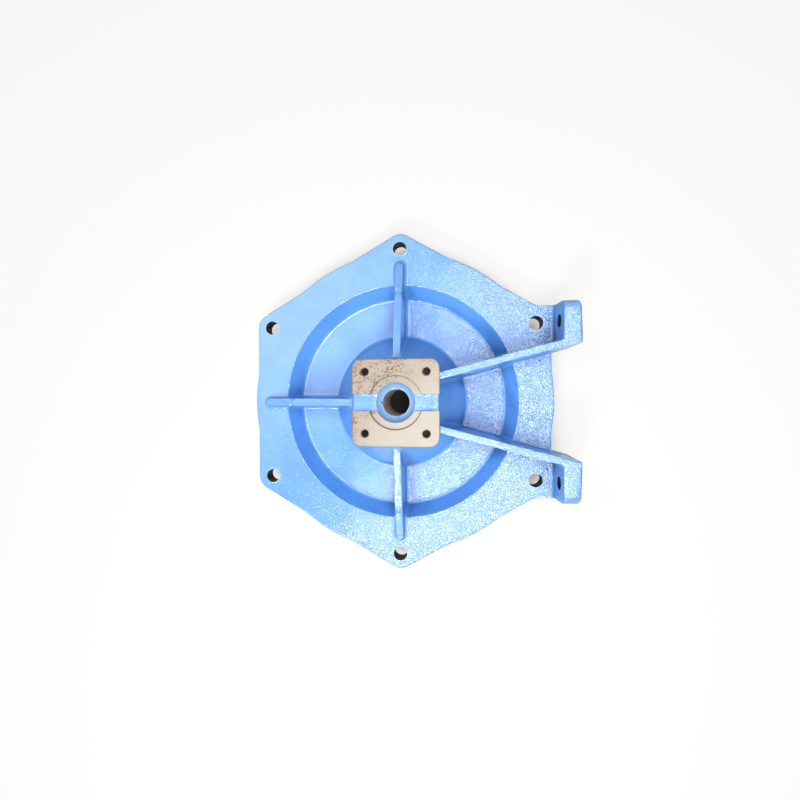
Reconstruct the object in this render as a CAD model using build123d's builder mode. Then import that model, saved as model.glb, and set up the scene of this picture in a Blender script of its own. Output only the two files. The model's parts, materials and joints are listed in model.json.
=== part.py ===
from build123d import *
import os
from math import cos, radians, sin, sqrt, tan

# A cast pump housing: a six-lobed bolting flange with a ring-shaped dish sunk into it, a conical
# hub that carries a square machined pad, five ribs, and two foot lugs on one side.
# All sizes are in millimetres. The origin is on the axis of the shaft bore, in the machined
# mating face of the flange, and +Z points from that face towards the pad. The feet face +X.

# Flange and its six bolts. The disc between the lobes ends just inside the bolt circle.
bolt_count = 6
bolt_circle_radius = 150.0
bolt_hole_diameter = 13.5
lobe_radius = 15.2
rim_disc_inset = 2.2
rim_blend_radius = 60.0
flange_thickness = 15.0
flange_edge_round = 2.0

# Dish, the ring-shaped hollow between the flange and the hub. Its mouth lies inside the bolt
# circle by the width of the flange's land.
flange_land = 36.0
dish_wall_run = 10.0
dish_depth = 18.0
dish_floor_wall = 9.0
dish_mouth_round = 1.5
dish_floor_round = 5.0

# Spigot behind the flange, which centres the housing in the part that it closes. It is a
# little larger than the mouth of the dish.
spigot_step = 1.0
spigot_chamfer = 1.5

# Hub, its square pad and what is machined into the pad
hub_foot_radius = 66.0
hub_top_radius = 36.5
hub_wall = 10.0
hub_root_round = 4.0
pad_height = 57.0
pad_width = 78.0
pad_corner_radius = 9.0
pad_root_round = 2.0
pad_edge_chamfer = 0.4
pad_bolt_spacing = 55.0
tap_drill_diameter = 6.8
tap_depth = 18.0
tap_mouth_diameter = 8.4
register_radius = 24.0
register_depth = 1.5
slot_width = 15.0
slot_depth = 3.0
dished_ring_radius = 18.4
dished_ring_depth = 8.0
dished_ring_curve = 12.0
shaft_bore_diameter = 24.5
bore_nick_radius = 1.3
bore_nick_depth = 9.0

# Sleeve around the shaft bore, inside the hollow behind the hub
sleeve_radius = 20.0
sleeve_set_back = 3.0
core_roof_height = 34.0
core_round = 4.0

# Ribs. Their tops lie below the pad at the hub. The knee of a straight rib lies inside the
# dish's mouth, and its tip short of the bolts.
rib_thickness = 7.0
rib_draft = 1.0
rib_root_round = 4.0
straight_rib_hub_drop = 9.0
straight_rib_knee_inset = 9.0
straight_rib_knee_drop = 27.0
straight_rib_tip_gap = 14.0
straight_rib_tip_height = 4.2
rib_knee_round = 60.0
foot_rib_hub_drop = 4.0
foot_rib_angle = 14.7
foot_rib_offset = 13.0
foot_rib_root_round = 3.5

# Foot lugs. Their inner face lies inside the bolt circle, and their base reaches past a rim bolt.
foot_bolt_spacing = 146.0
foot_bolt_height = 35.0
foot_hole_diameter = 12.0
lug_rise = 13.5
lug_margin = 17.5
lug_corner_radius = 9.0
lug_inset = 4.0
lug_thickness = 16.0
lug_base_margin = 17.0

# How far a solid runs into its neighbour or past what trims it, and how near counts as touching
overlap = 25.0
touch = 0.01

# Heights and places that follow from the sizes above
bolt_angle = 180 / bolt_count
rim_disc_radius = bolt_circle_radius - rim_disc_inset
dish_mouth_radius = bolt_circle_radius - flange_land
dish_floor_radius = dish_mouth_radius - dish_wall_run
spigot_radius = dish_mouth_radius + spigot_step
straight_rib_knee_reach = dish_mouth_radius - straight_rib_knee_inset
straight_rib_reach = bolt_circle_radius - straight_rib_tip_gap
lug_inner_face = bolt_circle_radius - lug_inset
dish_floor_height = flange_thickness - dish_depth
back_face_height = dish_floor_height - dish_floor_wall
foot_face = lug_inner_face + lug_thickness
lug_top_height = foot_bolt_height + lug_rise
lug_side = foot_bolt_spacing / 2 + lug_margin
straight_rib_hub_height = pad_height - straight_rib_hub_drop
straight_rib_knee_height = pad_height - straight_rib_knee_drop
foot_rib_hub_height = pad_height - foot_rib_hub_drop
lug_half_width = bolt_circle_radius * sin(radians(bolt_angle)) + lug_base_margin
pad_half = pad_width / 2
hub_height = pad_height - dish_floor_height
hub_slope = (hub_foot_radius - hub_top_radius) / hub_height
pad_corner_reach = (pad_half - pad_corner_radius) * sqrt(2) + pad_corner_radius
pad_block_foot = pad_height - (pad_corner_reach + pad_corner_radius / 2 - hub_top_radius) / hub_slope
bore_radius = shaft_bore_diameter / 2
ring_foot = pad_height - dished_ring_depth
sleeve_foot = back_face_height + sleeve_set_back


def hub_radius_at(height):
    """Outer radius of the hub cone at a height."""
    return hub_foot_radius - (height - dish_floor_height) * hub_slope


def foot_rib_y(x):
    """Middle line of the upper diagonal rib, seen from above."""
    angle = radians(foot_rib_angle)
    return foot_rib_offset / cos(angle) + x * tan(angle)


def circles_of(builder, radius):
    """Circular edges of one radius on a part, from the lowest to the highest."""
    circles = builder.edges().filter_by(GeomType.CIRCLE)
    return circles.filter_by(lambda edge: abs(edge.radius - radius) < touch).sort_by(Axis.Z)


lug_inner_side = foot_rib_y(lug_inner_face + lug_thickness / 2)

# Ribs start inside the dish floor, the flange and the hub, so that they join them all along
buried_height = dish_floor_height - dish_floor_wall / 2
buried_reach = (dish_floor_radius + dish_mouth_radius) / 2
rib_rise = pad_height - buried_height
rib_base_thickness = rib_thickness + 2 * rib_rise * tan(radians(rib_draft))

# A straight rib falls from the hub to its knee, and then down to a low rounded tip
knee_fall = (straight_rib_hub_height - straight_rib_knee_height) / (straight_rib_knee_reach - pad_half)
rib_top_start = (0, straight_rib_hub_height + pad_half * knee_fall)
rib_knee = (straight_rib_knee_reach, straight_rib_knee_height)
tip_height = flange_thickness + straight_rib_tip_height
tip_fall = (straight_rib_knee_height - tip_height) / (straight_rib_reach - straight_rib_knee_reach)
rib_top_end = (straight_rib_reach + overlap, tip_height - overlap * tip_fall)
rib_seat = (flange_thickness - dish_depth / 2) / 2

with BuildPart() as straight_rib:
    with BuildSketch(Plane.XY.offset(buried_height)):
        tip_centre = straight_rib_reach - rib_base_thickness / 2
        Rectangle(tip_centre, rib_base_thickness, align=(Align.MIN, Align.CENTER))
        with Locations((tip_centre, 0)):
            Circle(rib_base_thickness / 2)
    extrude(amount=rib_rise, taper=rib_draft)
    with BuildSketch(Plane.XZ):
        with BuildLine():
            FilletPolyline(rib_top_start, rib_knee, rib_top_end, radius=rib_knee_round)
            Polyline(
                rib_top_end,
                (rib_top_end[0], rib_seat),
                (buried_reach, rib_seat),
                (buried_reach, buried_height),
                (0, buried_height),
                rib_top_start,
            )
        make_face()
    extrude(amount=pad_half, both=True, mode=Mode.INTERSECT)

# The upper diagonal rib, from the pad to its foot lug
foot_rib_fall = (foot_rib_hub_height - lug_top_height) / (lug_inner_face - pad_half)

with BuildPart() as foot_rib:
    with BuildSketch(Plane.XY.offset(buried_height).rotated((0, 0, foot_rib_angle))):
        with Locations((pad_half / 2, foot_rib_offset)):
            Rectangle(2 * foot_face, rib_base_thickness, align=(Align.MIN, Align.CENTER))
    extrude(amount=rib_rise, taper=rib_draft)
    with BuildSketch(Plane.XZ):
        with BuildLine():
            Polyline(
                (0, lug_top_height + lug_inner_face * foot_rib_fall),
                (lug_inner_face, lug_top_height),
                (foot_face, lug_top_height),
                (foot_face, buried_height),
                (0, buried_height),
                close=True,
            )
        make_face()
    extrude(amount=-2 * lug_half_width, mode=Mode.INTERSECT)
    with BuildSketch(Plane.XY.offset(buried_height)):
        Circle(2 * foot_face)
        Circle(buried_reach, mode=Mode.SUBTRACT)
    extrude(amount=-buried_height, mode=Mode.SUBTRACT)

# The upper foot lug, on the corner of the flange that carries it
with BuildPart() as foot_lug:
    with BuildSketch():
        with Locations((foot_face, lug_half_width)):
            Rectangle(
                lug_thickness + overlap,
                lug_half_width - lug_inner_side,
                align=(Align.MAX, Align.MAX),
            )
    extrude(amount=flange_thickness)
    with BuildSketch(Plane.YZ.offset(lug_inner_face)):
        with BuildLine():
            base_line = Line((lug_inner_side, 0), (lug_half_width, 0))
            base_side = Line(base_line @ 1, (lug_half_width, flange_thickness))
            shoulder = Line(base_side @ 1, (lug_side, lug_top_height - lug_corner_radius))
            corner = RadiusArc(
                shoulder @ 1, (lug_side - lug_corner_radius, lug_top_height), -lug_corner_radius
            )
            top_line = Line(corner @ 1, (lug_inner_side, lug_top_height))
            Line(top_line @ 1, base_line @ 0)
        make_face()
    extrude(amount=lug_thickness)

with BuildPart() as pump_housing:
    # Flange plate: six lobes on the bolt circle, the flats between them and a slightly larger disc
    with BuildSketch() as flange_outline:
        with PolarLocations(bolt_circle_radius, bolt_count, start_angle=bolt_angle):
            Circle(lobe_radius)
        make_hull()
        Circle(rim_disc_radius)
        crossings = flange_outline.vertices().filter_by(
            lambda vertex: Vector(vertex.X, vertex.Y, 0).length < bolt_circle_radius
        )
        fillet(crossings, radius=rim_blend_radius)
    extrude(amount=flange_thickness)
    fillet(pump_housing.edges().group_by(Axis.Z)[-1], radius=flange_edge_round)

    # Spigot behind it, which also holds the dish floor
    with BuildSketch(Plane.XY.offset(back_face_height)):
        Circle(spigot_radius)
    extrude(amount=-back_face_height)

    # Dish, with a steep wall and a flat floor
    with BuildSketch(Plane.XZ):
        with BuildLine():
            Polyline(
                (0, dish_floor_height),
                (dish_floor_radius, dish_floor_height),
                (dish_mouth_radius, flange_thickness),
                (dish_mouth_radius, pad_height),
                (0, pad_height),
                close=True,
            )
        make_face()
    revolve(axis=Axis.Z, mode=Mode.SUBTRACT)

    # Hub cone, and the block under the square pad that grows out of it
    with Locations((0, 0, dish_floor_height)):
        Cone(hub_foot_radius, hub_top_radius, hub_height, align=(Align.CENTER, Align.CENTER, Align.MIN))
    with BuildSketch(Plane.XY.offset(pad_height)):
        RectangleRounded(pad_width, pad_width, pad_corner_radius)
    extrude(amount=pad_block_foot - pad_height)
    chamfer(pump_housing.edges().group_by(Axis.Z)[-1], length=pad_edge_chamfer)

    # Soft cast corners of the dish
    fillet(circles_of(pump_housing, hub_foot_radius), radius=hub_root_round)
    fillet(circles_of(pump_housing, dish_floor_radius), radius=dish_floor_round)
    fillet(circles_of(pump_housing, dish_mouth_radius)[-1], radius=dish_mouth_round)

    # Three straight ribs
    with PolarLocations(0, 3, start_angle=90, angular_range=270):
        add(straight_rib.part)
    straight_roots = pump_housing.edges(Select.NEW).filter_by(GeomType.ELLIPSE, reverse=True)
    fillet(straight_roots, radius=rib_root_round)

    # Two foot lugs and their diagonal ribs
    for piece in (foot_lug.part, foot_rib.part):
        add(piece)
        add(mirror(piece, about=Plane.XZ, mode=Mode.PRIVATE))
    lines = pump_housing.edges().filter_by(GeomType.LINE)
    foot_rib_roots = lines.filter_by(
        lambda edge: edge.bounding_box().min.X > pad_half
        and abs(edge.center().Z - dish_floor_height) < touch
        and abs(edge.center().Y) > slot_width
    )
    lug_roots = lines.filter_by(
        lambda edge: abs(edge.center().X - lug_inner_face) < touch
        and abs(edge.center().Z - flange_thickness) < touch
    )
    fillet(foot_rib_roots + lug_roots, radius=foot_rib_root_round)

    # Soft corner where the pad's block leaves the hub cone, between the ribs
    block_roots = pump_housing.edges().filter_by(GeomType.HYPERBOLA).filter_by(
        lambda edge: abs(max(abs(edge.center().X), abs(edge.center().Y)) - pad_half) < touch
    )
    fillet(block_roots, radius=pad_root_round)

    # Hollow behind the hub, around the sleeve that holds the shaft bore
    with BuildSketch(Plane.XZ):
        with BuildLine():
            Polyline(
                (0, back_face_height),
                (hub_radius_at(back_face_height) - hub_wall, back_face_height),
                (hub_radius_at(core_roof_height) - hub_wall, core_roof_height),
                (sleeve_radius, core_roof_height),
                (sleeve_radius, sleeve_foot),
                (0, sleeve_foot),
                close=True,
            )
        core_profile = make_face()
        fillet(core_profile.vertices().group_by(Axis.Y)[-1], radius=core_round)
    revolve(axis=Axis.Z, mode=Mode.SUBTRACT)

    # Spigot lead-in
    chamfer(circles_of(pump_housing, spigot_radius)[0], length=spigot_chamfer)

    # Register and slot in the pad
    with BuildSketch(Plane.XY.offset(pad_height)):
        Circle(register_radius)
    extrude(amount=-register_depth, mode=Mode.SUBTRACT)
    with BuildSketch(Plane.XY.offset(pad_height)):
        Rectangle(pad_width, slot_width)
    extrude(amount=-slot_depth, mode=Mode.SUBTRACT)

    # Dished ring around the mouth of the shaft bore, and the bore itself
    with BuildSketch(Plane.XZ):
        with BuildLine():
            ring_slope = RadiusArc(
                (bore_radius, ring_foot), (dished_ring_radius, pad_height), -dished_ring_curve
            )
            Polyline(ring_slope @ 1, (0, pad_height), (0, ring_foot), ring_slope @ 0)
        make_face()
    revolve(axis=Axis.Z, mode=Mode.SUBTRACT)
    with Locations((0, 0, pad_height)):
        Hole(bore_radius)
    with Locations((-bore_radius, 0, ring_foot - bore_nick_depth)):
        Cylinder(
            bore_nick_radius,
            bore_nick_depth + dished_ring_depth,
            align=(Align.CENTER, Align.CENTER, Align.MIN),
            mode=Mode.SUBTRACT,
        )

    # Four tapped holes in the pad, six bolt holes in the flange and one bolt hole in each foot
    with Locations((0, 0, pad_height)):
        with GridLocations(pad_bolt_spacing, pad_bolt_spacing, 2, 2):
            CounterSinkHole(
                tap_drill_diameter / 2, tap_mouth_diameter / 2, depth=tap_depth, counter_sink_angle=90
            )
    with Locations((0, 0, flange_thickness)):
        with PolarLocations(bolt_circle_radius, bolt_count, start_angle=bolt_angle):
            Hole(bolt_hole_diameter / 2, depth=flange_thickness)
    with BuildSketch(Plane.YZ.offset(lug_inner_face)):
        for side in (1, -1):
            with Locations((side * foot_bolt_spacing / 2, foot_bolt_height)):
                Circle(foot_hole_diameter / 2)
    extrude(amount=lug_thickness, mode=Mode.SUBTRACT)

pump_housing.part.label = "pump_housing"
os.makedirs("parts", exist_ok=True)
export_step(pump_housing.part, "parts/pump_housing.step")
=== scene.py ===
import json
from contextlib import contextmanager
from math import cos, hypot, radians, sin, tan, tau

import bmesh
import bpy
from bpy.props import FloatProperty, FloatVectorProperty, IntProperty, PointerProperty
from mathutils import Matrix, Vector
from mathutils.kdtree import KDTree


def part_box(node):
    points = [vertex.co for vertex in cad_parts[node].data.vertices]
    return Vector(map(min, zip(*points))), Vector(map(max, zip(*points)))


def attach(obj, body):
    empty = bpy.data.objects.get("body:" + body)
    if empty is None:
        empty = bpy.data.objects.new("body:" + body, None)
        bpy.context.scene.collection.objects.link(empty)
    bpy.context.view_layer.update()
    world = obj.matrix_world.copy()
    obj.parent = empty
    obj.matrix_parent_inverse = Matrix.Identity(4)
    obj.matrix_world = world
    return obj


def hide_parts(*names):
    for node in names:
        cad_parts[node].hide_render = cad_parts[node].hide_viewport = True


bl_info = {
    "name": "Cast pump housing",
    "version": (1, 0, 0),
    "blender": (4, 5, 0),
    "location": "3D View > Sidebar > Housing",
    "description": "Finishes a cast pump housing in blue enamel, machined iron and light rust",
    "category": "Object",
}

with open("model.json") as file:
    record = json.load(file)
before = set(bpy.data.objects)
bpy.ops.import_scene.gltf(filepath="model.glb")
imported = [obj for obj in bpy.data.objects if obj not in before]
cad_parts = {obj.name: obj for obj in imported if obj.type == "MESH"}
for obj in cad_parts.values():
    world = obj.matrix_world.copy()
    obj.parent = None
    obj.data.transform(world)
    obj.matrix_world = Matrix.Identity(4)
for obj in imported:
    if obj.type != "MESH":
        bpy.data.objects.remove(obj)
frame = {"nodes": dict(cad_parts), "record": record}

MM = 0.001
HOUSING = "pump_housing"
CASTING = "housing_casting"
LOWEST, HIGHEST = (Vector(corner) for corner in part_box(HOUSING))
MOUNTS = {mount["name"]: mount for mount in frame["record"]["mounts"]}

ENAMEL, PAD, TURNED, DRILLED, BORE, RAW, TAPPED = range(7)
CAST_FINISHES = {ENAMEL, RAW}
CAST_SKIN = "cast_skin"
FEW_EDGES = 300
SAME_PLACE = 0.001 * MM
WHITE = (1, 1, 1, 1)

# Sockets of a Mix node that mixes colours.
MIX_FACTOR, MIX_FIRST, MIX_SECOND, MIX_RESULT = 0, 6, 7, 2


def mount_size(mount, name):
    """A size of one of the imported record's mounts, in metres."""
    return MOUNTS[mount]["dims"][name] * MM


def srgb(red, green, blue):
    """The scene's linear colour for a colour given as 0 to 255."""
    shares = (red / 255, green / 255, blue / 255)
    return tuple(c / 12.92 if c <= 0.04045 else ((c + 0.055) / 1.055) ** 2.4 for c in shares)


def length(name, description, default):
    """A size in metres."""
    return FloatProperty(
        name=name, description=description, default=default, unit="LENGTH", precision=5
    )


def place(name, description, default):
    """A place in metres."""
    return FloatVectorProperty(
        name=name, description=description, default=default, unit="LENGTH", precision=4
    )


def colour(name, description, default):
    """A colour that the user can pick."""
    return FloatVectorProperty(
        name=name, description=description, default=default, subtype="COLOR", min=0, max=1
    )


def turn(name, description, default):
    """An angle in radians."""
    return FloatProperty(name=name, description=description, default=default, unit="ROTATION")


def share(name, description, default):
    """A number without a unit."""
    return FloatProperty(name=name, description=description, default=default, precision=3)


class HousingSizes(bpy.types.PropertyGroup):
    """Sizes of the casting that the finishes and cuts go by."""

    pad_height: length("Pad height", "Height of the machined pad", HIGHEST.z)
    pad_half: length("Pad half width", "Half the width of the square pad", 39 * MM)
    pad_chamfer: length("Pad chamfer", "Chamfer round the pad", 0.4 * MM)
    register_radius: length(
        "Register radius", "Turned recess in the pad", mount_size("pad_register", "r_mm")
    )
    register_depth: length(
        "Register depth", "Depth of that recess", mount_size("pad_register", "length_mm")
    )
    ring_radius: length("Ring radius", "Dished ring where it meets the recess", 17.96 * MM)
    bore_radius: length("Bore radius", "Shaft bore", mount_size("shaft_bore", "r_mm"))
    bore_nick: length("Bore nick", "How far the nick reaches outside the bore", 1.5 * MM)
    sleeve_radius: length("Sleeve radius", "Outside of the bore's sleeve", 20 * MM)
    sleeve_foot: length("Sleeve foot", "Height of the sleeve's turned end", -9 * MM)
    core_roof: length("Core roof", "Height of the hollow behind the hub", 34 * MM)
    core_radius: length("Core radius", "The hollow behind the hub at its mouth", 61 * MM)
    core_narrowing: share("Core narrowing", "How much the hollow narrows with height", 0.49)
    spigot_radius: length("Spigot radius", "Turned spigot", mount_size("spigot", "r_mm"))
    spigot_chamfer: length("Spigot chamfer", "Chamfer of the spigot", 1.5 * MM)
    rim_bolt_radius: length(
        "Rim bolt circle", "Radius of the flange's bolt circle", mount_size("rim_bolts", "pcd_mm") / 2
    )
    rim_bolt_count: IntProperty(name="Rim bolts", description="Holes in the flange", default=6)
    rim_hole_radius: length("Rim hole", "Bolt holes in the flange", mount_size("rim_bolts", "hole_r_mm"))
    tap_spacing: length(
        "Tap spacing", "Distance between the tapped holes", mount_size("pad_bolts", "spacing_x_mm")
    )
    tap_radius: length(
        "Tap radius", "Tapped holes before the thread", mount_size("pad_bolts", "hole_r_mm")
    )
    tap_chamfer: length("Tap chamfer", "Chamfer at the mouth of the tapped holes", 0.9 * MM)
    foot_bolt_spacing: length(
        "Foot bolt spacing", "Distance between the foot bolts", mount_size("foot_bolts", "spacing_x_mm")
    )
    foot_bolt_height: length(
        "Foot bolt height", "Height of the foot bolts", MOUNTS["foot_bolts"]["pos_m"][2]
    )
    foot_hole_radius: length(
        "Foot hole", "Bolt holes in the feet", mount_size("foot_bolts", "hole_r_mm")
    )
    lug_thickness: length("Lug thickness", "Thickness of the foot lugs", 16 * MM)
    lug_top: length("Lug top", "Height of the foot lugs", 48.5 * MM)
    lug_side: length("Lug side", "Outer side of the foot lugs", 90.5 * MM)
    lug_corner: length("Lug corner", "Corner radius of the foot lugs, seen from the foot", 9 * MM)
    thread_pitch: length("Thread pitch", "Pitch of the pad's threads", 1.25 * MM)
    thread_radius: length("Thread radius", "Outer radius of the pad's threads", 4 * MM)
    thread_length: length("Thread length", "How far down the threads go", 16.5 * MM)
    thread_overlap: length("Thread overlap", "How far the cutter starts inside the hole", 0.2 * MM)
    thread_steps: IntProperty(name="Thread steps", description="Steps in one turn of a thread", default=28)


class HousingFinish(bpy.types.PropertyGroup):
    """Colours and grain of the casting."""

    enamel: colour("Enamel", "Blue machinery enamel", srgb(108, 170, 236))
    enamel_deep: colour("Deep enamel", "Enamel where it lies thick", srgb(98, 162, 230))
    # Also laid inside the dished ring as painted light.
    thin_and_lit_enamel: colour("Thin enamel", "Enamel rubbed thin on the edges", srgb(160, 190, 216))
    pad_iron: colour("Pad iron", "Milled face", srgb(177, 169, 158))
    pad_tan: colour("Pad tan", "Milled face with a breath of rust", srgb(168, 156, 141))
    iron: colour("Iron", "Fresh machined iron", srgb(158, 156, 152))
    bore_iron: colour("Bore iron", "Bright reamed wall of the bore", srgb(214, 208, 198))
    # Dark: the flanks also carry painted shade of the deep tapped holes.
    tapped_iron: colour("Tapped iron", "Flanks of the pad's threads", srgb(84, 76, 68))
    raw_iron: colour("Raw iron", "Unpainted casting skin", srgb(92, 84, 78))
    # Near-black: dark oily iron, with painted shade of the deep holes laid in as well.
    drilled_iron: colour("Drilled iron", "Oily wall of a drilled hole", srgb(46, 42, 40))
    # Rust colour, also used for the dark line in the recess step, where it carries painted shadow.
    rust_and_shadow: colour("Rust", "Brown rust specks", srgb(96, 62, 44))
    light_rust: colour("Light rust", "Orange bloom near the edges", srgb(178, 122, 78))
    iron_stain: colour("Iron stain", "Brown stains on bare iron", srgb(128, 92, 66))
    # Painted glint: a pale colour laid on the crests of the wrinkles where the lamps' reflection falls.
    painted_glint_colour: colour("Crest", "Enamel on the crests of its wrinkles", srgb(204, 222, 248))
    # Painted shade: a darker colour laid in the pits between the wrinkles.
    pit_shade_colour: colour("Pit", "Enamel in the pits between them", srgb(66, 108, 182))
    handled: colour("Handled", "Dull enamel on the foot lugs", srgb(112, 146, 166))
    # Painted shade: a dark colour laid into the corners where shade falls, and how far out of them it
    # reaches.
    corner_shade: colour("Grime", "Oily dirt that has settled in the corners", srgb(44, 56, 84))
    corner_shade_reach: length("Grime reach", "How far out of a corner the dirt reaches", 22 * MM)
    peel_size: length("Peel size", "Size of the wrinkles in the enamel", 3.0 * MM)
    peel_depth: length("Peel depth", "Depth of those wrinkles", 0.95 * MM)
    enamel_roughness: share("Enamel roughness", "Gloss of the enamel", 0.17)
    chip_spacing: length("Chip spacing", "Distance between places that may be chipped", 7 * MM)
    chip_share: share("Chip share", "How many of those places are chipped", 0.07)
    mesh_step: length("Mesh step", "Longest edge on a cast face", 4.2 * MM)
    edge_step: length("Edge step", "Longest edge beside a softened edge", 1.5 * MM)
    edge_round: length("Edge round", "Softness of the cast edges", 1.3 * MM)
    lug_round: length("Lug round", "Softness of the foot lugs' edges", 1.8 * MM)
    foot_round: length("Foot round", "Radius of the foot lugs' outer corners", 2.6 * MM)
    foot_steps: IntProperty(name="Foot steps", description="Faces across such a corner", default=4)
    sharp_angle: turn("Sharp angle", "Turn at which a cast edge is softened", radians(35))
    shading_angle: turn("Shading angle", "Turn up to which faces are shaded smooth", radians(32))
    wave_size: length("Wave size", "Size of the slow waves in the casting", 26 * MM)
    wave_depth: length("Wave depth", "Depth of those waves", 0.5 * MM)
    lump_size: length("Lump size", "Size of the lumps in the casting", 10 * MM)
    lump_depth: length("Lump depth", "Depth of those lumps", 0.14 * MM)


class StageSizes(bpy.types.PropertyGroup):
    """Camera, lights and floor."""

    camera_place: place("Camera place", "Where the camera stands", (41.25 * MM, 7.2 * MM, 418.4 * MM))
    camera_turn: FloatVectorProperty(
        name="Camera turn",
        description="How the camera is turned",
        default=(radians(-0.77), radians(5.84), radians(-0.15)),
        unit="ROTATION",
    )
    lens: share("Lens", "Focal length in millimetres", 18.54)
    sensor_width: share("Sensor width", "Width of the camera's sensor in millimetres", 36.0)
    floor_size: length("Floor size", "Side of the square floor", 8.0)
    floor_gap: length("Floor gap", "Gap between the housing and the floor", 0.05 * MM)
    floor_colour: colour("Floor", "Pale floor", (0.86, 0.855, 0.84))
    floor_seen: colour("Floor seen", "What the floor is lifted towards", (0.97, 0.965, 0.945))
    floor_white: share("Floor white", "How far the floor is lifted to white as seen", 0.75)
    ambient: share("Ambient", "Strength of the room's own light", 0.05)
    key_place: place("Key place", "Lamp below and to the left", (-0.35, -0.95, 1.05))
    key_size: length("Key size", "Side of that lamp", 0.3)
    key_power: share("Key power", "Watts of that lamp", 8.5)
    window_place: place("Window place", "Wide lamp below and to the right", (0.17, -0.38, 1.0))
    window_size: length("Window size", "Side of that lamp", 0.45)
    window_power: share("Window power", "Watts of that lamp", 6.5)
    side_place: place("Side place", "Wide lamp above and to the right", (0.3, 0.22, 1.0))
    side_size: length("Side size", "Side of that lamp", 0.4)
    side_power: share("Side power", "Watts of that lamp", 3.2)
    fill_place: place("Fill place", "Wide lamp above and to the left", (-0.6, 0.4, 1.0))
    fill_size: length("Fill size", "Side of that lamp", 1.0)
    fill_power: share("Fill power", "Watts of that lamp", 5.5)
    bare_floor: length("Bare floor", "Floor under the housing that isn't lifted to white", 140 * MM)
    # Painted shade: a dark patch laid on the floor under the hub, and its colour.
    painted_shade_radius: length("Dark floor", "Floor in the dark under the hub", 30 * MM)
    painted_shade_tone: colour("Dark tone", "Colour of that dark floor", (0.05, 0.05, 0.05))


class NodeSheet:
    """A short way to write a material's nodes. An input that is a socket is linked."""

    def __init__(self, tree):
        self.tree = tree
        self.place = self.add("ShaderNodeTexCoord").outputs["Object"]

    def add(self, kind, inputs=None, **settings):
        node = self.tree.nodes.new(kind)
        for name, value in settings.items():
            setattr(node, name, value)
        for name, value in (inputs or {}).items():
            if isinstance(value, bpy.types.NodeSocket):
                self.tree.links.new(value, node.inputs[name])
            else:
                node.inputs[name].default_value = value
        return node

    def noise(self, size, detail=2.0, roughness=0.5, stretch=(1, 1, 1), warp=0.0):
        """Soft noise from 0 to 1 with features of a size in metres."""
        spot = self.place
        if stretch != (1, 1, 1):
            spread = tuple(1 / by for by in stretch)
            spot = self.add("ShaderNodeMapping", {"Vector": spot, "Scale": spread}).outputs["Vector"]
        inputs = {
            "Vector": spot,
            "Scale": 1 / size,
            "Detail": detail,
            "Roughness": roughness,
            "Distortion": warp,
        }
        return self.add("ShaderNodeTexNoise", inputs).outputs["Fac"]

    def spots(self, spacing, width, chosen):
        """Round spots: 1 inside, for a share of points that lie about a spacing apart."""
        cells = self.add("ShaderNodeTexVoronoi", {"Vector": self.place, "Scale": 1 / spacing})
        drawn = self.add("ShaderNodeSeparateColor", {"Color": cells.outputs["Color"]}).outputs["Red"]
        inside = self.ramp(cells.outputs["Distance"], width / spacing, 0.6 * width / spacing)
        return self.times(inside, self.math("LESS_THAN", drawn, chosen))

    def math(self, operation, first, second=0.0, third=0.0):
        node = self.add("ShaderNodeMath", operation=operation)
        for socket, value in zip(node.inputs, (first, second, third)):
            if isinstance(value, bpy.types.NodeSocket):
                self.tree.links.new(value, socket)
            else:
                socket.default_value = value
        return node.outputs["Value"]

    def times(self, first, second):
        return self.math("MULTIPLY", first, second)

    def plus(self, first, second):
        return self.math("ADD", first, second)

    def larger(self, first, second):
        return self.math("MAXIMUM", first, second)

    def distance(self, first, second):
        """The length of a line with these two sides."""
        squares = self.plus(self.times(first, first), self.times(second, second))
        return self.math("SQRT", squares)

    def ramp(self, value, low, high, to_low=0.0, to_high=1.0):
        """The value's stretch from low to high as to_low to to_high, smooth at both ends."""
        inputs = {
            "Value": value,
            "From Min": low,
            "From Max": high,
            "To Min": to_low,
            "To Max": to_high,
        }
        node = self.add("ShaderNodeMapRange", inputs, interpolation_type="SMOOTHSTEP")
        return node.outputs["Result"]

    def mix(self, factor, first, second):
        """One colour changing into another."""
        node = self.add("ShaderNodeMix", data_type="RGBA")
        for index, value in ((MIX_FACTOR, factor), (MIX_FIRST, first), (MIX_SECOND, second)):
            if isinstance(value, bpy.types.NodeSocket):
                self.tree.links.new(value, node.inputs[index])
            elif index == MIX_FACTOR:
                node.inputs[index].default_value = value
            else:
                node.inputs[index].default_value = (*value, 1)
        return node.outputs[MIX_RESULT]

    def axes(self):
        """The place's x, y and z."""
        node = self.add("ShaderNodeSeparateXYZ", {"Vector": self.place})
        return node.outputs["X"], node.outputs["Y"], node.outputs["Z"]

    def upward(self):
        """How far the surface faces up: 1 on level faces and 0 on upright walls."""
        normal = self.add("ShaderNodeTexCoord").outputs["Normal"]
        return self.add("ShaderNodeSeparateXYZ", {"Vector": normal}).outputs["Z"]

    def bump(self, height, depth, normal=None):
        """A normal for a height from 0 to 1 that stands for a depth in metres."""
        node = self.add("ShaderNodeBump", {"Height": height, "Distance": depth})
        if normal:
            self.tree.links.new(normal, node.inputs["Normal"])
        return node.outputs["Normal"]


def new_material(name):
    """An empty node material with its shader and its sheet."""
    material = bpy.data.materials.new(name)
    material.use_nodes = True
    tree = material.node_tree
    tree.nodes.clear()
    sheet = NodeSheet(tree)
    shader = sheet.add("ShaderNodeBsdfPrincipled")
    output = sheet.add("ShaderNodeOutputMaterial")
    tree.links.new(shader.outputs["BSDF"], output.inputs["Surface"])
    return material, sheet, shader


def set_shader(sheet, shader, inputs):
    """Sets or links the shader's own sockets."""
    for name, value in inputs.items():
        if isinstance(value, bpy.types.NodeSocket):
            sheet.tree.links.new(value, shader.inputs[name])
        elif name == "Base Color":
            shader.inputs[name].default_value = (*value, 1)
        else:
            shader.inputs[name].default_value = value


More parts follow.
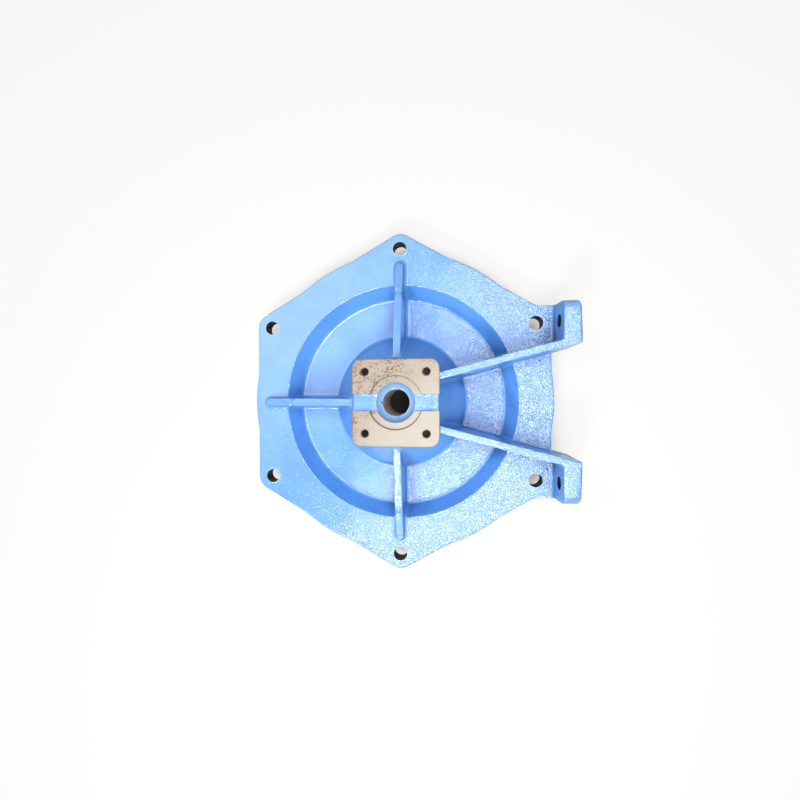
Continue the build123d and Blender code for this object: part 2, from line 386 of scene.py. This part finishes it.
def from_rim_hole(sheet, sizes):
    """Distance from the middle of the nearest hole in the flange, seen from above."""
    x, y, _ = sheet.axes()
    half_step = tau / sizes.rim_bolt_count / 2
    turn = sheet.math("ARCTAN2", y, x)
    turn = sheet.math("WRAP", sheet.plus(turn, -half_step), half_step, -half_step)
    reach = sheet.distance(x, y)
    along = sheet.plus(sheet.times(reach, sheet.math("COSINE", turn)), -sizes.rim_bolt_radius)
    across = sheet.times(reach, sheet.math("SINE", turn))
    return sheet.distance(along, across)


def coarse_skin(sheet, to_lower_right, upward):
    """How coarse the sand-cast skin is, from 0 to 1: most on low, level faces at the lower right. It also
    places the painted glints and the painted pit shade.
    """
    z = sheet.axes()[2]
    patch_size = 40 * MM
    patch_reach = 120 * MM
    smooth_end, coarse_end = -30 * MM, 80 * MM
    flange_level, rib_level = 17 * MM, 26 * MM
    patches = sheet.times(sheet.plus(sheet.noise(patch_size, 3), -0.5), patch_reach)
    coarse = sheet.ramp(sheet.plus(to_lower_right, patches), smooth_end, coarse_end)
    coarse = sheet.times(coarse, sheet.ramp(z, flange_level, rib_level, 1.0, 0.4))
    return sheet.times(coarse, sheet.ramp(upward, 0.7, 0.96, 0.15, 1.0))


def enamel_peel(sheet, finish):
    """The wrinkles of the enamel, from 0 to 1, with finer ones among them."""
    wide = sheet.noise(finish.peel_size, 1.5, 0.5, warp=2.5)
    fine = sheet.noise(finish.peel_size / 2.2, 1)
    return sheet.plus(sheet.times(wide, 0.8), sheet.times(fine, 0.2))


def handled_patches(sheet):
    """Where handling has dulled the enamel of the foot lugs, more on the lower one."""
    x, y, _ = sheet.axes()
    patch_size = 9 * MM
    lug_start, lug_end = 146 * MM, 158 * MM
    upper_lug, lower_lug = 20 * MM, -20 * MM
    patches = sheet.ramp(sheet.noise(patch_size, 3), 0.42, 0.6)
    on_lugs = sheet.times(patches, sheet.ramp(x, lug_start, lug_end, 0, 0.9))
    return sheet.times(on_lugs, sheet.ramp(y, upper_lug, lower_lug, 0.4, 1.0))


def painted_corner_shade(sheet, finish, to_lower_right):
    """Painted shade in the corners, more of it at the lower right."""
    faint_side, more_shade_side = -40 * MM, 60 * MM
    open_sky = sheet.add("ShaderNodeAmbientOcclusion", {"Distance": finish.corner_shade_reach}, samples=8)
    hidden = sheet.ramp(open_sky.outputs["AO"], 0.8, 0.3)
    return sheet.times(hidden, sheet.ramp(to_lower_right, faint_side, more_shade_side, 0.3, 0.75))


def rubbed_rims(sheet, sizes):
    """A thin uneven ring round each hole in the flange, where the enamel is rubbed."""
    wobble_size, wobble_depth = 4 * MM, 0.9 * MM
    ring_outside = sizes.rim_hole_radius + 1.2 * MM
    ring_inside = sizes.rim_hole_radius + 0.8 * MM
    wobble = sheet.times(sheet.noise(wobble_size, 2), wobble_depth)
    rim = sheet.plus(from_rim_hole(sheet, sizes), wobble)
    return sheet.ramp(rim, ring_outside, ring_inside)


def bare_spots(sheet, finish):
    """Chips, more of them towards the foot, and the scraped edge of the foot lugs."""
    x = sheet.axes()[0]
    few_chips, many_chips = 20 * MM, 140 * MM
    chip_width = 1.1 * MM
    scrape_start = HIGHEST.x - 1.3 * MM
    scrape_end = HIGHEST.x - 0.4 * MM
    scrape_size = 3.5 * MM
    near_foot = sheet.ramp(x, few_chips, many_chips, 0.1, 1.0)
    chips = sheet.times(sheet.spots(finish.chip_spacing, chip_width, finish.chip_share), near_foot)
    foot_edge = sheet.ramp(x, scrape_start, scrape_end)
    scraped = sheet.times(foot_edge, sheet.ramp(sheet.noise(scrape_size, 3), 0.3, 0.55, 0.55, 1.0))
    return sheet.larger(chips, scraped)


def enamel_material(finish, sizes):
    """Glossy blue enamel over a sand-cast skin, rubbed at the rim holes and chipped near the foot, with
    painted glints on its crests, painted shade in its pits and corners, and painted light in the dished
    ring.
    """
    material, sheet, shader = new_material("blue_enamel")
    x, y, _ = sheet.axes()
    to_lower_right = sheet.plus(x, sheet.times(y, -0.55))
    upward = sheet.upward()
    coarse = coarse_skin(sheet, to_lower_right, upward)
    peel = enamel_peel(sheet, finish)

    tone_size = 34 * MM
    tone = sheet.ramp(sheet.noise(tone_size, 3), 0.38, 0.62)
    base = sheet.mix(tone, finish.enamel_deep, finish.enamel)
    # Painted glints on the crests of the wrinkles, on level faces at the lower right.
    painted_glints = sheet.times(sheet.ramp(peel, 0.5, 0.6), sheet.ramp(coarse, 0, 1, 0.0, 0.3))
    base = sheet.mix(painted_glints, base, finish.painted_glint_colour)
    # Painted shade in the pits between the wrinkles.
    painted_pit_shade = sheet.times(sheet.ramp(peel, 0.48, 0.38), sheet.ramp(coarse, 0, 1, 0.05, 0.5))
    base = sheet.mix(painted_pit_shade, base, finish.pit_shade_colour)
    # Painted light: the dished ring is made paler against its shade.
    recess_edge = sizes.register_radius - 1 * MM
    ring_edge = sizes.ring_radius - 1 * MM
    ring_painted_light = sheet.ramp(sheet.distance(x, y), recess_edge, ring_edge, 0, 0.45)
    base = sheet.mix(ring_painted_light, base, finish.thin_and_lit_enamel)
    base = sheet.mix(handled_patches(sheet), base, finish.handled)
    # Painted shade in the corners, found by occlusion.
    base = sheet.mix(painted_corner_shade(sheet, finish, to_lower_right), base, finish.corner_shade)
    base = sheet.mix(rubbed_rims(sheet, sizes), base, finish.thin_and_lit_enamel)
    bare = bare_spots(sheet, finish)
    base = sheet.mix(bare, base, finish.drilled_iron)

    height = sheet.times(peel, sheet.ramp(coarse, 0, 1, 0.28, 1.0))
    wrinkles = sheet.bump(height, finish.peel_depth)
    on_coarse_skin = sheet.ramp(coarse, 0, 1, 0.7, 1.0)
    off_the_walls = sheet.ramp(upward, 0.5, 0.8, 0.15, 1.0)
    set_shader(
        sheet,
        shader,
        {
            "Base Color": base,
            "Roughness": sheet.ramp(bare, 0, 1, finish.enamel_roughness, 0.6),
            "Normal": wrinkles,
            "Coat Normal": wrinkles,
            "Coat Weight": sheet.times(on_coarse_skin, off_the_walls),
            "Coat Roughness": 0.08,
            "Coat IOR": 2.0,
            "Specular IOR Level": 0.15,
        },
    )
    return material


def pad_specks(sheet, sizes, left_and_top):
    """Rust specks in patches and in the corners of the pad."""
    x, y, _ = sheet.axes()
    patch_size, speck_size, corner_speck_size = 10 * MM, 1.7 * MM, 2.2 * MM
    patches = sheet.times(sheet.noise(patch_size, 4, 0.65, warp=0.8), left_and_top)
    patches = sheet.ramp(patches, 0.38, 0.56)
    specks = sheet.times(sheet.ramp(sheet.noise(speck_size, 3, 0.65), 0.5, 0.6), patches)
    corners = sheet.ramp(sheet.distance(x, y), 1.05 * sizes.pad_half, 1.3 * sizes.pad_half)
    corners = sheet.times(corners, left_and_top)
    in_corners = sheet.ramp(sheet.noise(corner_speck_size, 4, 0.65), 0.46, 0.62)
    return sheet.larger(specks, sheet.times(in_corners, corners))


def step_dirt_and_shadow(sheet, sizes):
    """A dark line where the turned recess steps down: dirt in the step, with painted shadow that makes it
    stronger on its lower side.
    """
    x, y, _ = sheet.axes()
    line_outside, line_inside = 0.75 * MM, 0.3 * MM
    upper_side, lower_side = 12 * MM, -12 * MM
    from_step = sheet.math("ABSOLUTE", sheet.plus(sheet.distance(x, y), -sizes.register_radius))
    line = sheet.ramp(from_step, line_outside, line_inside)
    return sheet.times(line, sheet.ramp(y, upper_side, lower_side, 0.5, 0.8))


def pad_material(finish, sizes):
    """Milled pad face with rust specks that gather along its edges, and a dark line with painted shadow in
    the step of its recess.
    """
    material, sheet, shader = new_material("pad_iron")
    x, y, _ = sheet.axes()
    stain_size, line_size, bloom_size, grain_size = 9 * MM, 0.9 * MM, 5 * MM, 1.2 * MM
    line_stretch = (18, 1, 1)
    faint_side, rusty_side = -30 * MM, 30 * MM
    border_start = sizes.pad_half - 1.3 * MM
    border_end = sizes.pad_half - 0.3 * MM
    grain_depth = 0.03 * MM
    reach = sheet.larger(sheet.math("ABSOLUTE", x), sheet.math("ABSOLUTE", y))
    edge = sheet.ramp(reach, 0.6 * sizes.pad_half, sizes.pad_half)
    to_upper_left = sheet.plus(sheet.times(x, -1), y)
    left_and_top = sheet.ramp(to_upper_left, faint_side, rusty_side, 0.25, 1.0)

    stain = sheet.times(sheet.noise(stain_size, 4, 0.6), left_and_top)
    base = sheet.mix(sheet.ramp(stain, 0.15, 0.5), finish.pad_iron, finish.pad_tan)
    lines = sheet.noise(line_size, 2, 0.5, line_stretch)
    base = sheet.mix(sheet.ramp(lines, 0.45, 0.7, 0, 0.3), base, finish.pad_tan)
    bloom = sheet.ramp(sheet.noise(bloom_size, 4, 0.65), 0.5, 0.68)
    bloom = sheet.times(bloom, sheet.times(edge, left_and_top))
    base = sheet.mix(sheet.times(bloom, 0.75), base, finish.light_rust)
    specks = pad_specks(sheet, sizes, left_and_top)
    base = sheet.mix(sheet.times(specks, 0.75), base, finish.rust_and_shadow)
    # Dirt and painted shadow in the step of the recess.
    base = sheet.mix(step_dirt_and_shadow(sheet, sizes), base, finish.rust_and_shadow)
    border = sheet.times(sheet.ramp(reach, border_start, border_end), left_and_top)
    base = sheet.mix(sheet.times(border, 0.55), base, finish.rust_and_shadow)
    set_shader(
        sheet,
        shader,
        {
            "Base Color": base,
            "Metallic": 0.2,
            "Roughness": sheet.ramp(specks, 0, 1, 0.42, 0.8),
            "Normal": sheet.bump(sheet.plus(lines, sheet.noise(grain_size, 3)), grain_depth),
        },
    )
    return material


def iron_material(name, base, iron_stain, roughness, metallic, grain, grooves):
    """Bare iron: grain is the depth of its unevenness, grooves the pitch of turning marks or 0."""
    material, sheet, shader = new_material(name)
    x, y, z = sheet.axes()
    blotch_size, grain_size, stain_size = 7 * MM, 1.6 * MM, 16 * MM
    blotch = 0.12 if grooves else 0.3
    dark, light = (tuple(min(1, c * by) for c in base) for by in (1 - blotch, 1 + blotch / 2))
    tone = sheet.mix(sheet.ramp(sheet.noise(blotch_size, 4, 0.6), 0.3, 0.7), dark, light)
    normal = sheet.bump(sheet.noise(grain_size, 4, 0.6), grain)
    if grooves:
        groove_depth = 0.006 * MM
        sway_size, sway = 30 * MM, 0.4 * MM
        ring_pitch = 4 * grooves
        travel = sheet.plus(sheet.distance(x, y), z)
        wave = sheet.math("SINE", sheet.times(travel, tau / grooves))
        normal = sheet.bump(wave, groove_depth, normal)
        feed = sheet.plus(travel, sheet.times(sheet.noise(sway_size, 2), sway))
        rings = sheet.math("SINE", sheet.times(feed, tau / ring_pitch))
        tone = sheet.mix(sheet.ramp(rings, -1, 1, 0, 0.3), tone, tuple(c * 0.6 for c in base))
    stain = sheet.ramp(sheet.noise(stain_size, 5, 0.65), 0.56, 0.72, 0, 0.5)
    tone = sheet.mix(stain, tone, iron_stain)
    set_shader(
        sheet,
        shader,
        {"Base Color": tone, "Metallic": metallic, "Roughness": roughness, "Normal": normal},
    )
    return material


def select_only(piece):
    bpy.ops.object.select_all(action="DESELECT")
    piece.select_set(True)
    bpy.context.view_layer.objects.active = piece


@contextmanager
def editing(piece):
    """Edit mode on one selected object."""
    select_only(piece)
    bpy.ops.object.mode_set(mode="EDIT")
    yield
    bpy.ops.object.mode_set(mode="OBJECT")


def select_vertices(piece, chosen):
    """In edit mode, selects the vertices whose place is chosen."""
    shape = bmesh.from_edit_mesh(piece.data)
    for vertex in shape.verts:
        vertex.select_set(chosen(vertex.co))
    shape.select_flush(True)
    bmesh.update_edit_mesh(piece.data)


def rim_places(sizes):
    """Centres of the holes in the flange, seen from above."""
    radius, step = sizes.rim_bolt_radius, tau / sizes.rim_bolt_count
    angles = [step * (i + 0.5) for i in range(sizes.rim_bolt_count)]
    return [(radius * cos(angle), radius * sin(angle)) for angle in angles]


def tap_places(sizes):
    """Centres of the tapped holes in the pad, seen from above."""
    half = sizes.tap_spacing / 2
    return [(x, y) for x in (-half, half) for y in (-half, half)]


def finish_of(centre, normal, sizes, rim, taps):
    """Which finish a face has, by its place and the way it faces."""
    x, y, z = centre
    slack = 0.15 * MM
    thread_slack = 0.3 * MM
    core_lip = 2 * MM
    from_axis = hypot(x, y)
    upright = abs(normal.z) < 0.3
    faces_up = normal.z > 0.5
    faces_down = normal.z < -0.5
    level = normal.z > 0.9
    register_floor = sizes.pad_height - sizes.register_depth
    thread_reach = sizes.thread_radius + thread_slack
    if z < sizes.pad_height - slack / 2 and z > sizes.core_roof:
        if any(hypot(x - a, y - b) < thread_reach for a, b in taps):
            at_mouth = faces_up and z > sizes.pad_height - sizes.tap_chamfer
            return PAD if at_mouth else TAPPED
    if faces_up and z > sizes.pad_height - sizes.pad_chamfer - slack:
        return PAD
    if level and abs(z - register_floor) < slack and from_axis > sizes.ring_radius - slack:
        return PAD
    if upright and abs(from_axis - sizes.register_radius) < slack and z > register_floor:
        return PAD
    if upright and any(hypot(x - a, y - b) < sizes.rim_hole_radius + slack for a, b in rim):
        return DRILLED
    foot_side = hypot(abs(y) - sizes.foot_bolt_spacing / 2, z - sizes.foot_bolt_height)
    if x > HIGHEST.x - sizes.lug_thickness - slack and foot_side < sizes.foot_hole_radius + slack:
        return DRILLED
    if upright and from_axis < sizes.bore_radius + sizes.bore_nick:
        return BORE
    if x > HIGHEST.x - slack and normal.x > 0.9:
        return TURNED
    if faces_down and z < sizes.sleeve_foot + slack and from_axis < sizes.sleeve_radius + slack:
        return TURNED
    if faces_down and (abs(z) < slack or z < LOWEST.z + sizes.spigot_chamfer):
        if from_axis > sizes.core_radius - core_lip:
            return TURNED
    if z < -slack and from_axis > sizes.spigot_radius - sizes.spigot_chamfer:
        return TURNED
    core_wall = sizes.core_radius - sizes.core_narrowing * (z - LOWEST.z) + slack
    if sizes.sleeve_radius - slack < from_axis < core_wall and z < sizes.core_roof + slack:
        if normal.z < 0.5:
            return RAW
    return ENAMEL


class HOUSING_OT_casting(bpy.types.Operator):
    """Makes the casting's own mesh from a merged copy of the housing"""

    bl_idname = "housing.casting"
    bl_label = "Casting"

    def execute(self, context):
        mesh = frame["nodes"][HOUSING].data.copy()
        mesh.name = CASTING
        mesh.materials.clear()
        casting = bpy.data.objects.new(CASTING, mesh)
        context.scene.collection.objects.link(casting)
        select_only(casting)
        bpy.ops.mesh.customdata_custom_splitnormals_clear()
        with editing(casting):
            bpy.ops.mesh.select_all(action="SELECT")
            bpy.ops.mesh.remove_doubles(threshold=SAME_PLACE)
        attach(casting, "root")
        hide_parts(HOUSING)
        return {"FINISHED"}


def thread_cutter(sizes):
    """The helical groove of one tapped hole, as a closed strip around the Z axis."""
    flank = radians(30)
    depth = sizes.thread_radius - sizes.tap_radius + sizes.thread_overlap
    inner = sizes.tap_radius - sizes.thread_overlap
    root = sizes.thread_pitch / 8
    mouth = root + 2 * depth * tan(flank)
    bpy.ops.object.select_all(action="DESELECT")
    bpy.ops.mesh.primitive_plane_add(size=1.0, rotation=(radians(90), 0, 0))
    cutter = bpy.context.active_object
    bpy.ops.object.transform_apply(location=True, rotation=True, scale=True)
    with editing(cutter):
        bpy.ops.mesh.select_all(action="SELECT")
        bpy.ops.transform.resize(value=(depth, 1, mouth), center_override=(0, 0, 0))
        bpy.ops.transform.translate(value=(inner + depth / 2, 0, 0))
        bpy.ops.mesh.delete(type="ONLY_FACE")
        select_vertices(cutter, lambda spot: spot.x > inner + depth / 2)
        bpy.ops.transform.resize(value=(1, 1, root / mouth), center_override=(inner, 0, 0))
    turns = int((sizes.thread_length + sizes.thread_pitch) / sizes.thread_pitch) + 1
    screw = cutter.modifiers.new("screw", "SCREW")
    screw.screw_offset = sizes.thread_pitch
    screw.iterations = turns
    screw.steps = screw.render_steps = sizes.thread_steps
    bpy.ops.object.modifier_apply(modifier=screw.name)
    with editing(cutter):
        bpy.ops.mesh.select_all(action="SELECT")
        bpy.ops.mesh.fill_holes(sides=4)
        bpy.ops.mesh.normals_make_consistent(inside=False)
    lowest = min(vertex.co.z for vertex in cutter.data.vertices)
    cutter.location.z = sizes.pad_height - sizes.thread_length - lowest
    bpy.ops.object.transform_apply(location=True, rotation=True, scale=True)
    return cutter


class HOUSING_OT_pad_threads(bpy.types.Operator):
    """Cuts the threads of the pad's four tapped holes"""

    bl_idname = "housing.pad_threads"
    bl_label = "Pad threads"

    def execute(self, context):
        sizes = context.scene.housing_sizes
        casting = bpy.data.objects[CASTING]
        pattern = thread_cutter(sizes)
        cutters = []
        for x, y in tap_places(sizes):
            cutter = bpy.data.objects.new("thread_cutter", pattern.data.copy())
            context.scene.collection.objects.link(cutter)
            cutter.location = (x, y, 0)
            cutters.append(cutter)
        bpy.data.objects.remove(pattern)
        bpy.ops.object.select_all(action="DESELECT")
        for cutter in cutters:
            cutter.select_set(True)
        context.view_layer.objects.active = cutters[0]
        bpy.ops.object.join()
        joined = context.view_layer.objects.active
        select_only(casting)
        cut = casting.modifiers.new("threads", "BOOLEAN")
        cut.operation = "DIFFERENCE"
        cut.solver = "EXACT"
        cut.object = joined
        bpy.ops.object.modifier_apply(modifier=cut.name)
        bpy.data.objects.remove(joined)
        return {"FINISHED"}


class HOUSING_OT_finishes(bpy.types.Operator):
    """Gives each face of the casting its finish: enamel, milled, turned, drilled or raw iron"""

    bl_idname = "housing.finishes"
    bl_label = "Finishes"

    def execute(self, context):
        sizes = context.scene.housing_sizes
        finish = context.scene.housing_finish
        mesh = bpy.data.objects[CASTING].data
        mesh.materials.append(enamel_material(finish, sizes))
        mesh.materials.append(pad_material(finish, sizes))
        for name, base, roughness, metallic, grain, grooves in (
            ("turned_iron", finish.iron, 0.38, 0.75, 0.03 * MM, 0.6 * MM),
            ("drilled_iron", finish.drilled_iron, 0.45, 0.3, 0.06 * MM, 0),
            ("bore_iron", finish.bore_iron, 0.45, 0.4, 0.03 * MM, 0.5 * MM),
            ("raw_iron", finish.raw_iron, 0.85, 0.1, 0.5 * MM, 0),
            ("tapped_iron", finish.tapped_iron, 0.35, 0.6, 0.03 * MM, 0),
        ):
            iron = iron_material(name, base, finish.iron_stain, roughness, metallic, grain, grooves)
            mesh.materials.append(iron)
        rim = rim_places(sizes)
        taps = tap_places(sizes)
        for face in mesh.polygons:
            face.material_index = finish_of(face.center, face.normal, sizes, rim, taps)
        return {"FINISHED"}


def split_long_edges(mesh, is_long, rounds):
    """Halves the edges that is_long names, round after round, and evens out the triangles."""
    for _ in range(rounds):
        shape = bmesh.from_edit_mesh(mesh)
        for face in shape.faces:
            face.select_set(False)
        chosen = [edge for edge in shape.edges if is_long(edge)]
        for edge in chosen:
            edge.select_set(True)
        bmesh.update_edit_mesh(mesh)
        if len(chosen) < FEW_EDGES:
            break
        bpy.ops.mesh.subdivide(number_cuts=1, ngon=False)
        bpy.ops.mesh.select_all(action="SELECT")
        bpy.ops.mesh.quads_convert_to_tris(quad_method="BEAUTY", ngon_method="BEAUTY")
        bpy.ops.mesh.beautify_fill(angle_limit=radians(1))


class HOUSING_OT_cast_skin(bpy.types.Operator):
    """Softens the cast edges and gives the cast faces the unevenness of a sand mould"""

    bl_idname = "housing.cast_skin"
    bl_label = "Cast skin"

    def execute(self, context):
        self.sizes = context.scene.housing_sizes
        self.finish = context.scene.housing_finish
        casting = bpy.data.objects[CASTING]
        mesh = casting.data
        with editing(casting):
            bpy.ops.mesh.select_all(action="SELECT")
            bpy.ops.mesh.dissolve_limited(angle_limit=radians(0.05), delimit={"MATERIAL"})
            self.round_foot_corners(mesh)
            bpy.ops.mesh.select_all(action="SELECT")
            bpy.ops.mesh.quads_convert_to_tris(quad_method="BEAUTY", ngon_method="BEAUTY")
            self.mark_edges(mesh)
            split_long_edges(mesh, self.on_cast_face, rounds=6)
            split_long_edges(mesh, self.beside_soft_edge, rounds=4)
            self.relax_edges(mesh)
        self.roughen(casting)
        return {"FINISHED"}

    def round_foot_corners(self, mesh):
        """Rounds the outer edges of the foot lugs beside their machined faces."""
        shape = bmesh.from_edit_mesh(mesh)
        for face in shape.faces:
            face.select_set(False)
        slack = 0.01 * MM
        corner_start = self.sizes.lug_side - self.sizes.lug_corner
        for edge in shape.edges:
            kinds = {face.material_index for face in edge.link_faces}
            start, end = (vertex.co for vertex in edge.verts)
            at_foot = min(start.x, end.x) > HIGHEST.x - slack
            outside = min(abs(start.y), abs(end.y)) > corner_start - slack
            if at_foot and outside and kinds == {ENAMEL, TURNED}:
                edge.select_set(True)
        bmesh.update_edit_mesh(mesh)
        bpy.ops.mesh.bevel(
            offset=self.finish.foot_round, segments=self.finish.foot_steps, material=ENAMEL
        )

    def mark_edges(self, mesh):
        """Keeps points along the sharp edges between cast faces, which are to be softened."""
        shape = bmesh.from_edit_mesh(mesh)
        shape.normal_update()
        points = []
        for edge in shape.edges:
            kinds = {face.material_index for face in edge.link_faces}
            start, end = (vertex.co for vertex in edge.verts)
            middle = (start + end) / 2
            on_ring = hypot(middle.x, middle.y) < self.sizes.register_radius
            sharp = edge.calc_face_angle(0) > self.finish.sharp_angle
            if sharp and kinds == {ENAMEL} and not on_ring:
                count = int(edge.calc_length() / self.finish.edge_round) + 1
                points += [start.lerp(end, i / count) for i in range(count + 1)]
        self.soft_edges = KDTree(len(points))
        for index, point in enumerate(points):
            self.soft_edges.insert(point, index)
        self.soft_edges.balance()

    def on_cast_face(self, edge):
        """Whether an edge of a cast face is longer than a step."""
        if edge.calc_length() < self.finish.mesh_step:
            return False
        return any(face.material_index in CAST_FINISHES for face in edge.link_faces)

    def beside_soft_edge(self, edge):
        """Whether an edge is too long for its place beside a softened edge."""
        if edge.calc_length() < self.finish.edge_step:
            return False
        middle = (edge.verts[0].co + edge.verts[1].co) / 2
        return self.soft_edges.find(middle)[2] < self.reach(middle)

    def reach(self, spot):
        """How far from its edge the softening goes: further on the foot lugs."""
        on_lug = spot.x > HIGHEST.x - self.sizes.lug_thickness and spot.z > self.sizes.lug_top / 2
        return self.finish.lug_round if on_lug else self.finish.edge_round

    def relax_edges(self, mesh):
        """Smooths the vertices beside the marked edges, which rounds them."""
        shape = bmesh.from_edit_mesh(mesh)
        for face in shape.faces:
            face.select_set(False)
        for vertex in shape.verts:
            kinds = {face.material_index for face in vertex.link_faces}
            close = self.soft_edges.find(vertex.co)[2] < self.reach(vertex.co)
            vertex.select_set(close and kinds == {ENAMEL})
        bmesh.update_edit_mesh(mesh)
        bpy.ops.mesh.vertices_smooth(factor=0.5, repeat=6)

    def roughen(self, casting):
        """Sinks the cast faces a little, here more and there less."""
        mesh = casting.data
        machined = set()
        for face in mesh.polygons:
            if face.material_index not in CAST_FINISHES:
                machined.update(face.vertices)
        cast = [vertex.index for vertex in mesh.vertices if vertex.index not in machined]
        casting.vertex_groups.new(name=CAST_SKIN).add(cast, 1.0, "REPLACE")
        finish = self.finish
        for name, size, depth in (
            ("waves", finish.wave_size, finish.wave_depth),
            ("lumps", finish.lump_size, finish.lump_depth),
        ):
            clouds = bpy.data.textures.new(name, "CLOUDS")
            clouds.noise_scale = size
            clouds.noise_depth = 0
            sink = casting.modifiers.new(name, "DISPLACE")
            sink.texture = clouds
            sink.texture_coords = "LOCAL"
            sink.mid_level = 1.0
            sink.strength = depth
            sink.vertex_group = CAST_SKIN
            bpy.ops.object.modifier_apply(modifier=name)
            bpy.data.textures.remove(clouds)
        casting.vertex_groups.clear()


class HOUSING_OT_shading(bpy.types.Operator):
    """Shades the casting smooth, apart from its machined edges"""

    bl_idname = "housing.shading"
    bl_label = "Shading"

    def execute(self, context):
        select_only(bpy.data.objects[CASTING])
        bpy.ops.object.shade_smooth_by_angle(angle=context.scene.housing_finish.shading_angle)
        return {"FINISHED"}


def area_light(name, spot, size, power):
    """A square soft light that looks at the housing."""
    data = bpy.data.lights.new(name, "AREA")
    data.size = size
    data.energy = power
    lamp = bpy.data.objects.new(name, data)
    lamp.location = spot
    lamp.rotation_euler = (-Vector(spot)).to_track_quat("-Z", "Y").to_euler()
    bpy.context.scene.collection.objects.link(lamp)


class HOUSING_OT_stage(bpy.types.Operator):
    """Makes the pale floor, the studio light and the camera"""

    bl_idname = "housing.stage"
    bl_label = "Stage"

    def execute(self, context):
        stage = context.scene.housing_stage
        self.make_floor(stage)
        area_light("key", stage.key_place, stage.key_size, stage.key_power)
        area_light("window", stage.window_place, stage.window_size, stage.window_power)
        area_light("side", stage.side_place, stage.side_size, stage.side_power)
        area_light("fill", stage.fill_place, stage.fill_size, stage.fill_power)
        self.make_room(context.scene, stage)
        self.make_camera(context.scene, stage)
        context.scene.view_settings.view_transform = "Standard"
        return {"FINISHED"}

    def make_floor(self, stage):
        """A pale floor that keeps a faint shadow of the housing, with a painted dark patch of shade under
        the hub.
        """
        bpy.ops.object.select_all(action="DESELECT")
        floor_level = LOWEST.z - stage.floor_gap
        bpy.ops.mesh.primitive_plane_add(size=stage.floor_size, location=(0, 0, floor_level))
        floor = bpy.context.active_object
        floor.name = "floor"
        material, sheet, shader = new_material("pale_floor")
        x, y, _ = sheet.axes()
        from_hub = sheet.distance(x, y)
        # Painted shade: the floor is darkened under the hub.
        painted_shade_end = 1.5 * stage.painted_shade_radius
        painted_shade_under_hub = sheet.ramp(from_hub, painted_shade_end, stage.painted_shade_radius)
        tone = sheet.mix(painted_shade_under_hub, stage.floor_colour, stage.painted_shade_tone)
        set_shader(sheet, shader, {"Base Color": tone, "Roughness": 0.9})
        rays = sheet.add("ShaderNodeLightPath").outputs
        white = sheet.add("ShaderNodeEmission", {"Color": (*stage.floor_seen, 1), "Strength": 1.0})
        lift_end = 1.2 * stage.bare_floor
        outside = sheet.ramp(from_hub, stage.bare_floor, lift_end)
        lift = sheet.times(sheet.times(rays["Is Camera Ray"], outside), stage.floor_white)
        both = sheet.add("ShaderNodeMixShader", {"Fac": lift})
        sheet.tree.links.new(shader.outputs["BSDF"], both.inputs[1])
        sheet.tree.links.new(white.outputs[0], both.inputs[2])
        output = next(node for node in sheet.tree.nodes if node.type == "OUTPUT_MATERIAL")
        sheet.tree.links.new(both.outputs[0], output.inputs["Surface"])
        floor.data.materials.append(material)

    def make_room(self, scene, stage):
        """A dim even room that is white where it is seen."""
        world = bpy.data.worlds.new("studio")
        scene.world = world
        world.use_nodes = True
        tree = world.node_tree
        tree.nodes.clear()
        sheet = NodeSheet(tree)
        rays = sheet.add("ShaderNodeLightPath").outputs
        seen = sheet.larger(rays["Is Camera Ray"], rays["Is Glossy Ray"])
        seen = sheet.larger(seen, rays["Is Transmission Ray"])
        room = sheet.add("ShaderNodeBackground", {"Color": WHITE, "Strength": stage.ambient})
        white = sheet.add("ShaderNodeBackground", {"Color": WHITE, "Strength": 1.0})
        both = sheet.add("ShaderNodeMixShader", {"Fac": seen})
        tree.links.new(room.outputs[0], both.inputs[1])
        tree.links.new(white.outputs[0], both.inputs[2])
        output = sheet.add("ShaderNodeOutputWorld")
        tree.links.new(both.outputs[0], output.inputs["Surface"])

    def make_camera(self, scene, stage):
        """The camera looks down on the pad."""
        data = bpy.data.cameras.new("camera")
        data.sensor_width = stage.sensor_width
        data.lens = stage.lens
        camera = bpy.data.objects.new("camera", data)
        camera.location = stage.camera_place
        camera.rotation_euler = stage.camera_turn
        scene.collection.objects.link(camera)
        scene.camera = camera


class HOUSING_PT_panel(bpy.types.Panel):
    """The housing's pieces and its stage"""

    bl_label = "Housing"
    bl_space_type = "VIEW_3D"
    bl_region_type = "UI"
    bl_category = "Housing"

    def draw(self, context):
        for operator in OPERATORS:
            self.layout.operator(operator.bl_idname)
        for name, group in GROUPS.items():
            box = self.layout.box()
            for size in group.__annotations__:
                box.prop(getattr(context.scene, name), size)


GROUPS = {
    "housing_sizes": HousingSizes,
    "housing_finish": HousingFinish,
    "housing_stage": StageSizes,
}
OPERATORS = (
    HOUSING_OT_stage,
    HOUSING_OT_casting,
    HOUSING_OT_pad_threads,
    HOUSING_OT_finishes,
    HOUSING_OT_cast_skin,
    HOUSING_OT_shading,
)


def register():
    for group in GROUPS.values():
        bpy.utils.register_class(group)
    for name, group in GROUPS.items():
        setattr(bpy.types.Scene, name, PointerProperty(type=group))
    for operator in OPERATORS:
        bpy.utils.register_class(operator)
    bpy.utils.register_class(HOUSING_PT_panel)


def unregister():
    bpy.utils.unregister_class(HOUSING_PT_panel)
    for operator in reversed(OPERATORS):
        bpy.utils.unregister_class(operator)
    for name in GROUPS:
        delattr(bpy.types.Scene, name)
    for group in reversed(GROUPS.values()):
        bpy.utils.unregister_class(group)


def main():
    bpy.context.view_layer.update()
    register()
    bpy.ops.housing.stage()
    bpy.ops.housing.casting()
    bpy.ops.housing.pad_threads()
    bpy.ops.housing.finishes()
    bpy.ops.housing.cast_skin()
    bpy.ops.housing.shading()


if __name__ == "__main__":
    main()
